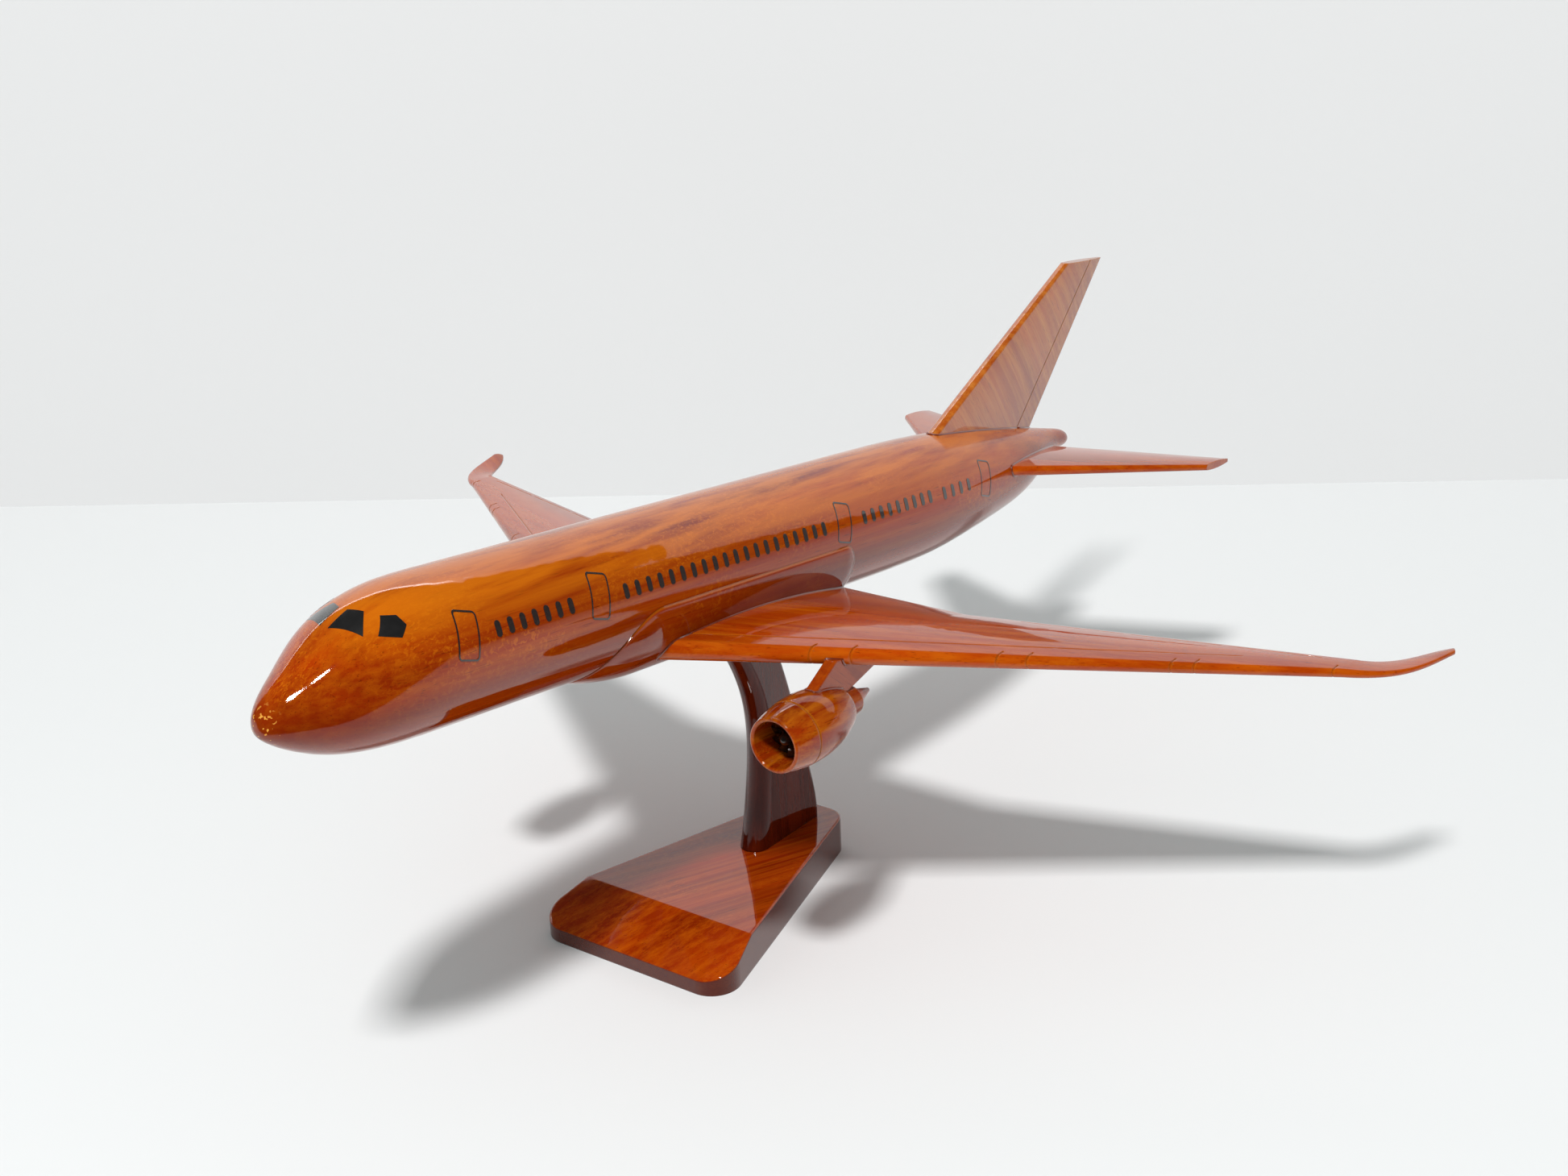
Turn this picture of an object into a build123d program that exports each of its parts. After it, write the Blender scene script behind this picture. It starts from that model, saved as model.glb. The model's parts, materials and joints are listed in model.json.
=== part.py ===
from build123d import *
import math
import os

# A desktop model of a twin-engined airliner, carved in mahogany, on a raked wooden stand.
# Millimetres. The aircraft is drawn in its own level frame: X towards its port side,
# Y aft from the tip of the nose (the "station"), Z up from the fuselage axis.
# It is then tipped nose-up and set over the stand, whose underside is Z = 0.

# fuselage
fuselage_length = 400.0
fuselage_diameter = 43.0
nose_length = 60.0
tail_length = 150.0
nose_tip_drop = 0.36                    # tip of the nose below the axis, in radii
tail_tip_rise = 0.24                    # end of the tail cone above the axis, in radii
# share of the nose or tail length, then crown and keel heights in radii
nose_sections = ((0.004, -0.28, -0.42), (0.0167, -0.19, -0.47), (0.067, -0.01, -0.58),
                 (0.2, 0.28, -0.77), (0.417, 0.705, -0.94), (0.75, 0.975, -1.0))
tail_sections = ((0.267, 0.985, -0.945), (0.533, 0.865, -0.72), (0.767, 0.65, -0.335),
                 (0.933, 0.46, 0.09), (0.988, 0.345, 0.14))
barrel_sections = (0.0, 0.1, 0.35, 0.65, 0.9, 1.0)      # share of the straight length between them

# how the aircraft sits over the stand
nose_up = 6.4                           # degrees
pivot_station = 200.0                   # point of the fuselage axis straight above the stand's origin
axis_height = 116.2                     # and its height above the table

# belly fairing
fairing_margin = 0.25                   # fairing radius over the fuselage radius
fairing_drop = 3.55                     # fairing axis below the fuselage axis
fairing_depth = 3.2                     # flat underside, below the keel of the fuselage
fairing_front = 130.0                   # station where the full section starts
fairing_rear = 221.0
fairing_nose = 44.5                     # length of the rounded front end
fairing_tail = 20.0

# wing
wing_lead_station = 131.0               # leading edge at wing_datum_span
wing_datum_span = 15.0
wing_lead_sweep = 36.8
wing_trail_station = 225.0
wing_trail_break = 64.0                 # span where the trailing edge starts to sweep
wing_break_chord = 11.25                # chord where the raked tip starts
wing_inner_end = 10.0                   # hidden in the fuselage before it is trimmed
wing_tip_break = 176.0                  # span where the raked tip starts
wing_tip_length = 22.0                  # from there to the end of the tip
wing_rise = 3.0                         # underside, above the keel of the fuselage
wing_nose_root = 6.2                    # height of the blunt leading edge
wing_nose_tip = 2.7
wing_thick_root = 8.1
wing_thick_tip = 3.0
wing_trail_rise = 1.7                   # underside higher at the trailing edge
wing_trail_edge = 1.2                   # thickness of the trailing edge
wing_tip_nose = 1.3
wing_tip_thick = 1.4
wing_tip_trail_edge = 0.8
wing_nose_round = 0.35                  # depth of the rounded leading edge, in its own heights
wing_fullest = 0.45                     # share of the chord where the wing is thickest
wing_break_margin = 8.0                 # sections this far each side of the trailing-edge break
# raked tip, in tip lengths from the break: leading edge out and aft, trailing edge out and aft, rise
tip_sections = ((0.44, 0.34, 0.28, 0.28, 0.01), (0.70, 0.73, 0.49, 0.62, 0.04),
                (0.87, 1.18, 0.69, 0.97, 0.10), (0.98, 1.54, 0.89, 1.19, 0.16))

# fin and stabilisers, stations set out from the end of the tail cone
fin_height = 73.5
fin_root_height = 9.0
fin_root_lead = fuselage_length - 118.0
fin_root_trail = fuselage_length - 33.0
fin_tip_lead = fuselage_length - 10.0
fin_tip_trail = fuselage_length + 18.5
fin_thick_root = 6.0
fin_thick_tip = 4.2
stab_height = 5.0
stab_inner_end = 1.5
stab_span = 66.5
stab_root_lead = fuselage_length - 85.0
stab_root_trail = fuselage_length - 23.0
stab_tip_lead = fuselage_length - 12.5
stab_tip_trail = fuselage_length + 5.5
stab_thick_root = 5.4
stab_thick_tip = 2.8
tail_trail_edge = 1.2
leaf_nose = 0.7                         # rounded edge of fin and stabilisers, in half thicknesses
leaf_shoulder = 0.8                     # half height where that rounding ends, in half thicknesses
leaf_fullest = 0.35                     # share of the chord

# scored panel lines
groove_width = 0.5
groove_depth = 0.35
slat_setback = 8.5
slat_end_span = 150.0
flap_setback = 3.0
flap_spans = ((82.0, 112.0), (114.0, 140.0), (142.0, 168.0))
notch_spans = (52.0, 61.5, 95.5, 102.5, 136.0, 141.5, 174.0)
notch_length = 5.0
notch_overhang = 1.0                    # ahead of and below the leading edge
notch_height = 14.0
slit_foot = 2.4                         # lowest point of a slit above the underside of the wing
slit_height = 12.0
rudder_setback_top = 10.0
rudder_setback_foot = 13.0

# engines
engine_span = 57.8
inlet_station = 134.5
engine_drop = 16.9                      # centre of the inlet below the underside of the wing
engine_droop = 6.0                      # engine axis nose-down against the fuselage axis
duct_radius = 7.2
lip_radius = 8.5
lip_length = 0.8
nacelle_length = 31.5
nacelle_rear_radius = 6.8
nacelle_widest = 14.5
nacelle_radius = 10.4
nacelle_groove = 9.0                    # scored ring, behind the inlet
nacelle_groove_radius = 10.1
nacelle_boat_tail = 24.0                # where the barrel starts to close in
nacelle_boat_tail_radius = 9.3
core_radius = 5.1
core_rear_radius = 4.5
core_length = 7.0
core_spigot_radius = 2.5
core_spigot_length = 4.0
cone_radius = 3.5
cone_length = 9.0
cone_tip_radius = 0.8
cone_spigot_radius = 1.5
cone_spigot_length = 3.0

# fan, turning on a brad
fan_blades = 12
fan_tip_gap = 0.35
fan_station = 7.5                       # front of the hub, behind the inlet
hub_radius = 2.2
hub_length = 3.2
blade_root_chord = 2.2
blade_tip_chord = 3.4
blade_root_turn = 25.0
blade_tip_turn = 58.0
blade_thickness = 0.45
blade_sink = 0.6                        # root buried in the hub
spinner_length = 3.6
brad_radius = 0.6
brad_head_radius = 1.2
brad_head_thickness = 0.4
brad_grip = 6.0                         # length driven into the nacelle
running_gap = 0.06                      # radial, fan on its brad
end_gap = 0.15                          # along the brad
head_gap = 0.3                          # round the head of the brad, inside the spinner

# pylon
pylon_thickness = 3.9
pylon_front = 14.0                      # lower front corner, behind the inlet
pylon_rear = 33.5                       # lower rear corner, behind the inlet
pylon_sink = 2.0                        # depth drawn into the nacelle before it is trimmed
pylon_lap = 1.2                         # stands this far ahead of the leading edge
pylon_top_length = 35.0
pylon_top_sink = 2.0                    # depth drawn into the wing before it is trimmed
pylon_top_rake = 0.8                    # and how much further ahead it starts there
pylon_edge_round = 0.8
pylon_brad_radius = 0.7
pylon_brad_length = 7.0
upper_brad_setback = 16.0               # behind the leading edge
upper_brad_height = 3.5                 # top end above the underside of the wing
lower_brad_station = 22.0               # behind the inlet
lower_brad_height = 4.5                 # foot above the engine axis
lower_brad_lean = 0.25                  # aft per unit of height

# glued dowels
wing_dowel_radius = 2.0
wing_dowel_length = 22.0
wing_dowel_stations = (162.0, 192.0)
wing_dowel_inner_end = 7.5
wing_dowel_height = 3.7                 # above the underside of the wing
tail_dowel_radius = 1.5
tail_dowel_length = 17.0
fin_dowel_stations = (fuselage_length - 70.0, fuselage_length - 50.0)
fin_dowel_foot = 8.0                    # above the fuselage axis
stab_dowel_inner_end = 3.0
stab_dowel_stations = (fuselage_length - 50.0, fuselage_length - 36.0)

# windows and doors, thin transfers on the lacquer
transfer_thickness = 0.08
window_width = 2.0
window_height = 4.2
window_corner = 0.95
# first station, how many, pitch, height above the axis
window_rows = ((63.9, 7, 4.67, 7.8), (114.5, 20, 5.0, 7.2), (231.9, 9, 4.9, 6.9), (280.4, 4, 5.6, 6.5))
door_width = 7.4
door_height = 12.4
door_corner = 1.2
door_line = 0.45
door_lean = 13.0
door_places = ((53.2, 8.1), (103.9, 7.8), (220.7, 7.0), (310.4, 6.2))      # station, height
front_pane = ((1.5, 22.5), (1.5, 29.0), (5.6, 30.8), (10.4, 26.0))         # across, station
side_pane = ((29.0, 12.3), (32.8, 16.2), (36.2, 16.0), (37.0, 13.9), (34.2, 11.4))  # station, height

pane_front_start = 5.0                  # height where the cut for the front panes starts
pane_side_start = 3.0                   # distance from the centreline where the cut for the side panes starts
pane_depth = 20.0
flank_start = 6.5                       # distance from the centreline where windows and doors start

# stand
base_length = 103.0
base_front = 74.3                       # front edge ahead of the stand's origin
base_front_width = 79.0
base_rear_width = 23.0
base_thickness = 12.4
base_front_thickness = 5.0
base_crease = 21.0                      # crease behind the front edge
base_front_corner = 9.0
base_rear_corner = 8.0
base_edge_round = 0.7
# share of the column height, front edge, rear edge, half thickness
column_sections = ((0.0, -11.9, 22.4, 5.1), (0.22, -8.0, 19.9, 4.9), (0.45, -6.0, 14.8, 4.7),
                   (0.62, -7.0, 10.9, 4.6), (0.82, -12.6, 5.6, 4.4), (1.05, -22.6, -2.4, 4.2))
column_rear_corner = 1.6
seat_gap = 0.05                         # between the fairing and the top of the column
peg_station = pivot_station - 3.0
peg_radius = 2.0
peg_fit = 0.08
peg_in_column = 12.0
peg_in_aircraft = 11.0
peg_socket_spare = 1.0
screw_offsets = (-3.0, 13.0)
screw_radius = 1.7
screw_head_radius = 3.6
screw_length = 24.0
screw_recess = 1.0
screw_slot_width = 0.9
screw_slot_depth = 0.8
screw_point_length = 3.0
screw_point_radius = 0.3

# cutting
overcut = 1.0                           # cutting shapes stand this far past what they cut
trim_block = 200.0                      # side of the block that trims a piece flat
same_place = 0.01

# worked out from the values above
duct_depth = fan_station + hub_length + end_gap
radius = fuselage_diameter / 2
fairing_radius = radius + fairing_margin
fairing_flat = radius + fairing_depth
wing_bottom = wing_rise - radius
inlet_height = wing_bottom - engine_drop
tail_start = fuselage_length - tail_length
bottom_aligned = (Align.CENTER, Align.CENTER, Align.MIN)
top_aligned = (Align.CENTER, Align.CENTER, Align.MAX)
aircraft_place = Pos(0, 0, axis_height) * Rot(-nose_up, 0, 0) * Pos(0, -pivot_station, 0)
engine_place = Pos(engine_span, inlet_station, inlet_height) * Rot(engine_droop, 0, 0)


def tangent(degrees):
    return math.tan(math.radians(degrees))


def mirrored(shape):
    return mirror(shape, about=Plane.YZ)


def between(first, second, share):
    return first + (second - first) * share


def group(shapes):
    """Separate solids kept together in one node."""
    solids = []
    for shape in shapes:
        solids += shape.solids()
    return Compound(solids)


def rod(start, direction, rod_radius, length):
    """Round bar from a start point along a direction."""
    return Plane(origin=start, z_dir=direction) * Cylinder(rod_radius, length, align=bottom_aligned)


def slab(points, plane, thickness):
    """Flat outline on a plane, given thickness to both sides of it."""
    outline = make_face(plane * Polyline(*points, close=True))
    return extrude(outline, thickness / 2, both=True)


# fuselage and fairing

def fuselage_body(grow=0.0):
    """Round sections between crown and keel, closed by a point at each end."""
    sections = [(share * nose_length, crown, keel) for share, crown, keel in nose_sections]
    middle = tail_start - nose_length
    sections += [(nose_length + middle * share, 1.0, -1.0) for share in barrel_sections]
    sections += [(tail_start + share * tail_length, crown, keel) for share, crown, keel in tail_sections]
    rings = []
    for station, crown, keel in sections:
        centre = (crown + keel) / 2 * radius
        plane = Plane(origin=(0, station, centre), x_dir=(1, 0, 0), z_dir=(0, 1, 0))
        rings.append(plane * Circle((crown - keel) / 2 * radius + grow))
    nose = Vertex(0, -grow, -nose_tip_drop * radius)
    tail = Vertex(0, fuselage_length + grow, tail_tip_rise * radius)
    return loft([nose] + rings + [tail])


def fairing_body():
    """Cigar under the fuselage with a flat underside, before the fuselage is cut out of it."""
    nose = EllipticalCenterArc((fairing_front, 0), fairing_nose, fairing_radius, 90, arc_size=90)
    crown = Line((fairing_front, fairing_radius), (fairing_rear, fairing_radius))
    tail = EllipticalCenterArc((fairing_rear, 0), fairing_tail, fairing_radius, 0, arc_size=90)
    spine = Line((fairing_rear + fairing_tail, 0), (fairing_front - fairing_nose, 0))
    half = make_face([nose, crown, tail, spine])
    cigar = revolve(half, Axis.X)
    lying = Plane(origin=(0, 0, -fairing_drop), x_dir=(0, 1, 0), z_dir=(1, 0, 0)) * cigar
    below = Pos(0, pivot_station, -fairing_flat) * Box(trim_block, trim_block, trim_block, align=top_aligned)
    return lying - below


# lifting surfaces

def blade_section(lead, trail, nose_height, thickness, rise, trail_edge):
    """Outline standing on the line from the leading to the trailing edge, blunt in front."""
    lead = Vector(*lead)
    trail = Vector(*trail)
    chord = (trail - lead).length
    along = (trail - lead).normalized()
    plane = Plane(origin=lead, x_dir=along, z_dir=along.cross(Vector(0, 0, 1)))
    nose_end = wing_nose_round * nose_height
    nose = ThreePointArc((nose_end, 0), (0, nose_height / 2), (nose_end, nose_height))
    top = Spline((nose_end, nose_height), (wing_fullest * chord, thickness), (chord, rise + trail_edge))
    back = Line((chord, rise + trail_edge), (chord, rise))
    bottom = Line((chord, rise), (nose_end, 0))
    return plane * make_face([nose, top, back, bottom])


def wing_lead(span):
    return wing_lead_station + (span - wing_datum_span) * tangent(wing_lead_sweep)


def wing_trail(span):
    """Square to the fuselage in to the break, straight from there to the foot of the tip."""
    aft = wing_lead(wing_tip_break) + wing_break_chord - wing_trail_station
    share = (span - wing_trail_break) / (wing_tip_break - wing_trail_break)
    return wing_trail_station + max(0.0, share) * aft


def wing_section(span, skin):
    share = (span - wing_inner_end) / (wing_tip_break - wing_inner_end)
    nose_height = between(wing_nose_root, wing_nose_tip, share)
    thickness = between(wing_thick_root, wing_thick_tip, share)
    lead = (span, wing_lead(span) + skin, wing_bottom)
    trail = (span, wing_trail(span), wing_bottom)
    return blade_section(lead, trail, nose_height - skin, thickness - skin, wing_trail_rise - skin,
                         wing_trail_edge)


def wing_tip_section(out_lead, aft_lead, out_trail, aft_trail, rise):
    foot = wing_tip_break
    size = wing_tip_length
    height = wing_bottom + rise * size
    lead = (foot + out_lead * size, wing_lead(foot) + aft_lead * size, height)
    trail = (foot + out_trail * size, wing_trail(foot) + aft_trail * size, height)
    nose_height = between(wing_nose_tip, wing_tip_nose, out_lead)
    thickness = between(wing_thick_tip, wing_tip_thick, out_lead)
    trail_edge = between(wing_trail_edge, wing_tip_trail_edge, out_lead)
    return blade_section(lead, trail, nose_height, thickness, wing_trail_rise * (1 - out_lead), trail_edge)


def wing_body(skin=0.0):
    """Port wing, straight-sided out to the tip break and curved beyond it."""
    kink = wing_trail_break
    spans = (wing_inner_end, kink - wing_break_margin, kink, kink + wing_break_margin, wing_tip_break)
    inner = loft([wing_section(span, skin) for span in spans], ruled=True)
    if skin:
        return inner
    tip = loft([wing_section(wing_tip_break, 0.0)] + [wing_tip_section(*values) for values in tip_sections])
    return inner + tip


def span_groove(setback, from_lead, inner, outer):
    """Slit that follows one edge of the wing, standing through the top surface."""
    points = []
    for span in (inner, outer):
        edge = wing_lead(span) + setback if from_lead else wing_trail(span) - setback
        points.append((span, edge))
    (x1, y1), (x2, y2) = points
    outline = Polyline((x1, y1), (x2, y2), (x2, y2 + groove_width), (x1, y1 + groove_width), close=True)
    return extrude(Pos(0, 0, wing_bottom + slit_foot) * make_face(outline), slit_height)


def wing_grooves():
    """Slat line, flap lines and the short notches across the leading edge."""
    slits = [span_groove(slat_setback, True, wing_inner_end, slat_end_span)]
    for inner, outer in flap_spans:
        slits.append(span_groove(flap_setback, False, inner, outer))
    notch = Box(groove_width, notch_length, notch_height)
    height = wing_bottom + notch_height / 2 - notch_overhang
    for span in notch_spans:
        station = wing_lead(span) + notch_length / 2 - notch_overhang
        slits.append(Pos(span, station, height) * notch)
    return slits


def fin_section(height, skin=0.0):
    share = (height - fin_root_height) / (fin_height - fin_root_height)
    lead = between(fin_root_lead, fin_tip_lead, share) + skin
    trail = between(fin_root_trail, fin_tip_trail, share)
    half = between(fin_thick_root, fin_thick_tip, share) / 2 - skin
    plane = Plane(origin=(0, 0, height), x_dir=(0, 1, 0), z_dir=(0, 0, 1))
    return plane * leaf(lead, trail, half)


def leaf(lead, trail, half):
    """Symmetrical section: round nose, fullest a third of the way back, thin square tail."""
    chord = trail - lead
    nose_end = lead + half * leaf_nose
    shoulder = half * leaf_shoulder
    fullest = lead + chord * leaf_fullest
    edge = tail_trail_edge / 2
    nose = ThreePointArc((nose_end, -shoulder), (lead, 0), (nose_end, shoulder))
    upper = Spline((nose_end, shoulder), (fullest, half), (trail, edge))
    lower = Spline((nose_end, -shoulder), (fullest, -half), (trail, -edge))
    back = Line((trail, edge), (trail, -edge))
    return make_face([nose, upper, back, lower])


def fin_body(skin=0.0):
    return loft([fin_section(fin_root_height, skin), fin_section(fin_height, skin)], ruled=True)


def rudder_groove():
    top = fin_tip_trail - rudder_setback_top
    foot = fin_root_trail - rudder_setback_foot
    points = ((top, fin_height + overcut), (top + groove_width, fin_height + overcut),
              (foot + groove_width, fin_root_height), (foot, fin_root_height))
    return slab(points, Plane.YZ, fin_thick_root + 2 * overcut)


def stab_section(span):
    share = (span - stab_inner_end) / (stab_span - stab_inner_end)
    lead = between(stab_root_lead, stab_tip_lead, share)
    trail = between(stab_root_trail, stab_tip_trail, share)
    half = between(stab_thick_root, stab_thick_tip, share) / 2
    plane = Plane(origin=(span, 0, stab_height), x_dir=(0, 1, 0), z_dir=(1, 0, 0))
    return plane * leaf(lead, trail, half)


def stab_body():
    return loft([stab_section(stab_inner_end), stab_section(stab_span)], ruled=True)


# engines, drawn with Y aft from the centre of the inlet

def turned(points_and_edges):
    """Solid of revolution about the engine axis from edges drawn as (aft, radius)."""
    profile = Plane(origin=(0, 0, 0), x_dir=(0, 1, 0), z_dir=(1, 0, 0)) * make_face(points_and_edges)
    return revolve(profile, Axis.Y)


def nacelle_outline():
    """Outside of the barrel, behind the lip."""
    return Spline((lip_length, lip_radius), (nacelle_groove, nacelle_groove_radius),
                  (nacelle_widest, nacelle_radius), (nacelle_boat_tail, nacelle_boat_tail_radius),
                  (nacelle_length, nacelle_rear_radius))


def nacelle_body():
    """Turned barrel with a rounded lip, a blind duct, a scored ring and holes for what it carries."""
    inside = Polyline((nacelle_length, nacelle_rear_radius), (nacelle_length, 0), (duct_depth, 0),
                      (duct_depth, duct_radius), (lip_length, duct_radius))
    lip = ThreePointArc((lip_length, duct_radius), (0, (duct_radius + lip_radius) / 2),
                        (lip_length, lip_radius))
    barrel = turned([nacelle_outline(), inside, lip])
    ring_start = (0, nacelle_groove, 0)
    ring = rod(ring_start, (0, 1, 0), nacelle_radius + overcut, groove_width)
    ring -= rod(ring_start, (0, 1, 0), nacelle_groove_radius - groove_depth, groove_width)
    spigot = rod((0, nacelle_length, 0), (0, -1, 0), core_spigot_radius, core_spigot_length)
    brad = rod((0, duct_depth, 0), (0, 1, 0), brad_radius, brad_grip)
    return barrel - ring - spigot - brad


def core_body():
    """Hot-stream nozzle with a spigot into the nacelle and a hole for the cone."""
    start = nacelle_length
    end = start + core_length
    outside = Line((start, core_radius), (end, core_rear_radius))
    points = ((end, core_rear_radius), (end, 0), (start - core_spigot_length, 0),
              (start - core_spigot_length, core_spigot_radius), (start, core_spigot_radius),
              (start, core_radius))
    nozzle = turned([outside, Polyline(*points)])
    return nozzle - rod((0, end, 0), (0, -1, 0), cone_spigot_radius, cone_spigot_length)


def cone_body():
    start = nacelle_length + core_length
    end = start + cone_length
    points = ((end, 0), (start - cone_spigot_length, 0), (start - cone_spigot_length, cone_spigot_radius),
              (start, cone_spigot_radius), (start, cone_radius), (end - cone_tip_radius, cone_tip_radius))
    tip = CenterArc((end - cone_tip_radius, 0), cone_tip_radius, 0, 90)
    return turned([Polyline(*points), tip])


def fan_blade():
    """One twisted blade, from inside the hub to just short of the duct."""
    middle = fan_station + hub_length / 2
    tip = duct_radius - fan_tip_gap
    sections = []
    for height, chord, turn in ((hub_radius - blade_sink, blade_root_chord, blade_root_turn),
                                (tip, blade_tip_chord, blade_tip_turn)):
        plane = Plane(origin=(0, middle, height), x_dir=(0, 1, 0), z_dir=(0, 0, 1))
        sections.append(plane * Rot(0, 0, turn) * Rectangle(chord, blade_thickness))
    return loft(sections, ruled=True)


def fan_body():
    hub = rod((0, fan_station, 0), (0, 1, 0), hub_radius, hub_length)
    wheel = hub
    for number in range(fan_blades):
        wheel += Rot(0, 360 / fan_blades * number, 0) * fan_blade()
    bore_start = (0, fan_station - overcut, 0)
    bore = rod(bore_start, (0, 1, 0), brad_radius + running_gap, hub_length + 2 * overcut)
    tip_trim = rod((0, 0, 0), (0, 1, 0), duct_radius - fan_tip_gap, duct_depth)
    return (wheel & tip_trim) - bore


def spinner_body():
    """Rounded cap glued on the hub, hollow over the head of the brad."""
    front = fan_station - spinner_length
    nose = EllipticalCenterArc((fan_station, 0), spinner_length, hub_radius, 90, arc_size=90)
    back = Polyline((fan_station, hub_radius), (fan_station, 0), (front, 0))
    hollow_depth = brad_head_thickness + end_gap + head_gap
    hollow = rod((0, fan_station, 0), (0, -1, 0), brad_head_radius + head_gap, hollow_depth)
    return turned([nose, back]) - hollow


def brad_body():
    """Headed brad: the fan turns between its head and the end wall of the duct."""
    head_back = fan_station - end_gap
    shank = rod((0, head_back, 0), (0, 1, 0), brad_radius, duct_depth + brad_grip - head_back)
    head = rod((0, head_back, 0), (0, -1, 0), brad_head_radius, brad_head_thickness)
    return shank + head


# pylon

def pylon_blank():
    """Raked slab from the top of the nacelle to the underside of the wing."""
    slope = tangent(engine_droop)
    lead = wing_lead(engine_span)
    foot_front = inlet_station + pylon_front
    foot_rear = inlet_station + pylon_rear
    front_height = inlet_height + pylon_front * slope + nacelle_radius - pylon_sink
    rear_height = inlet_height + pylon_rear * slope + nacelle_rear_radius - pylon_sink
    top = wing_bottom + pylon_top_sink
    points = ((foot_front, front_height), (lead - pylon_lap - pylon_top_rake, top),
              (lead + pylon_top_length, top), (foot_rear, rear_height))
    plate = slab(points, Plane(origin=(engine_span, 0, 0), x_dir=(0, 1, 0), z_dir=(1, 0, 0)), pylon_thickness)
    long_edges = plate.edges().filter_by(lambda edge: edge.length > 2 * pylon_thickness)
    front_edges = long_edges.sort_by(Axis.Y)[:2]
    return fillet(front_edges, pylon_edge_round)


def pylon_brads():
    """One brad up into the wing, one down into the nacelle."""
    top = (engine_span, wing_lead(engine_span) + upper_brad_setback, wing_bottom + upper_brad_height)
    upper = rod(top, (0, 0, -1), pylon_brad_radius, pylon_brad_length)
    foot_height = inlet_height + lower_brad_station * tangent(engine_droop) + lower_brad_height
    foot = (engine_span, inlet_station + lower_brad_station, foot_height)
    lower = rod(foot, (0, lower_brad_lean, 1), pylon_brad_radius, pylon_brad_length)
    return [upper, lower]


# windows and doors

def rounded_prism(width, height, corner, depth):
    """Rounded rectangle in the side view, through one flank of the fuselage."""
    plane = Plane(origin=(0, 0, 0), x_dir=(0, 1, 0), z_dir=(1, 0, 0))
    return extrude(plane * RectangleRounded(width, height, corner), depth)


def cabin_prisms():
    prisms = []
    for first, count, pitch, height in window_rows:
        for number in range(count):
            place = Pos(flank_start, first + number * pitch, height)
            prisms.append(place * rounded_prism(window_width, window_height, window_corner, radius))
    return prisms


def door_prisms():
    prisms = []
    for station, height in door_places:
        outer = rounded_prism(door_width, door_height, door_corner, radius)
        inner = rounded_prism(door_width - 2 * door_line, door_height - 2 * door_line,
                              door_corner - door_line, radius)
        prisms.append(Pos(flank_start, station, height) * Rot(-door_lean, 0, 0) * (outer - inner))
    return prisms


def pane_prisms():
    """Two front panes cut from above, two side panes cut from the flank."""
    front = extrude(Pos(0, 0, pane_front_start) * make_face(Polyline(*front_pane, close=True)), pane_depth)
    flank = Plane(origin=(pane_side_start, 0, 0), x_dir=(0, 1, 0), z_dir=(1, 0, 0))
    side = extrude(flank * make_face(Polyline(*side_pane, close=True)), pane_depth)
    return [front, side, mirrored(front), mirrored(side)]


# stand

def base_body():
    """Tapered board with a sloped front, rounded corners and softened upper edges."""
    front = -base_front
    rear = front + base_length
    outline = Polyline((-base_front_width / 2, front), (base_front_width / 2, front),
                       (base_rear_width / 2, rear), (-base_rear_width / 2, rear), close=True)
    plan = make_face(outline)
    plan = fillet(plan.vertices().group_by(Axis.Y)[0], base_front_corner)
    plan = fillet(plan.vertices().group_by(Axis.Y)[-1], base_rear_corner)
    crease = front + base_crease
    slope = ((front - overcut, base_thickness + overcut), (front - overcut, base_front_thickness),
             (front, base_front_thickness), (crease, base_thickness), (crease, base_thickness + overcut))
    board = extrude(plan, base_thickness) - slab(slope, Plane.YZ, base_front_width + 2 * overcut)
    rim = [edge for edge in board.edges() if edge.center().Z > base_front_thickness - same_place]
    rim = [edge for edge in rim if not is_upright(edge) and not on_crease(edge, crease)]
    return fillet(rim, base_edge_round)


def is_upright(edge):
    return (edge @ 1 - edge @ 0).cross(Vector(0, 0, 1)).length < same_place


def on_crease(edge, crease):
    return abs((edge @ 0).Y - crease) < same_place and abs((edge @ 1).Y - crease) < same_place


def column_height():
    """From the top of the base to past the underside of the fairing."""
    return axis_height - fairing_flat * math.cos(math.radians(nose_up)) - base_thickness


def column_section(share, front, rear, half):
    """Round front edge, flat sides and a slightly rounded back."""
    plane = Plane(origin=(0, 0, base_thickness + share * column_height()), x_dir=(1, 0, 0), z_dir=(0, 0, 1))
    corner = column_rear_corner
    nose = ThreePointArc((-half, front + half), (0, front), (half, front + half))
    right = Line((half, front + half), (half, rear - corner))
    right_corner = RadiusArc((half, rear - corner), (half - corner, rear), -corner)
    back = Line((half - corner, rear), (corner - half, rear))
    left_corner = RadiusArc((corner - half, rear), (-half, rear - corner), -corner)
    left = Line((-half, rear - corner), (-half, front + half))
    return plane * make_face([nose, right, right_corner, back, left_corner, left])


def peg_axis_start(depth):
    """Point on the peg axis, a depth below the fairing's flat, in the stand's frame."""
    place = aircraft_place * Pos(0, peg_station, -fairing_flat - depth)
    return place.position


def aircraft_up():
    return (0, math.sin(math.radians(nose_up)), math.cos(math.radians(nose_up)))


def column_body():
    blank = loft([column_section(*values) for values in column_sections])
    above = aircraft_place * Pos(0, pivot_station, -fairing_flat - seat_gap)
    blank -= above * Box(trim_block, trim_block, trim_block, align=bottom_aligned)
    blank -= rod(peg_axis_start(peg_in_column), aircraft_up(), peg_radius, peg_in_column + overcut)
    for offset in screw_offsets:
        blank -= screw_body(offset)
    return blank


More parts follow.
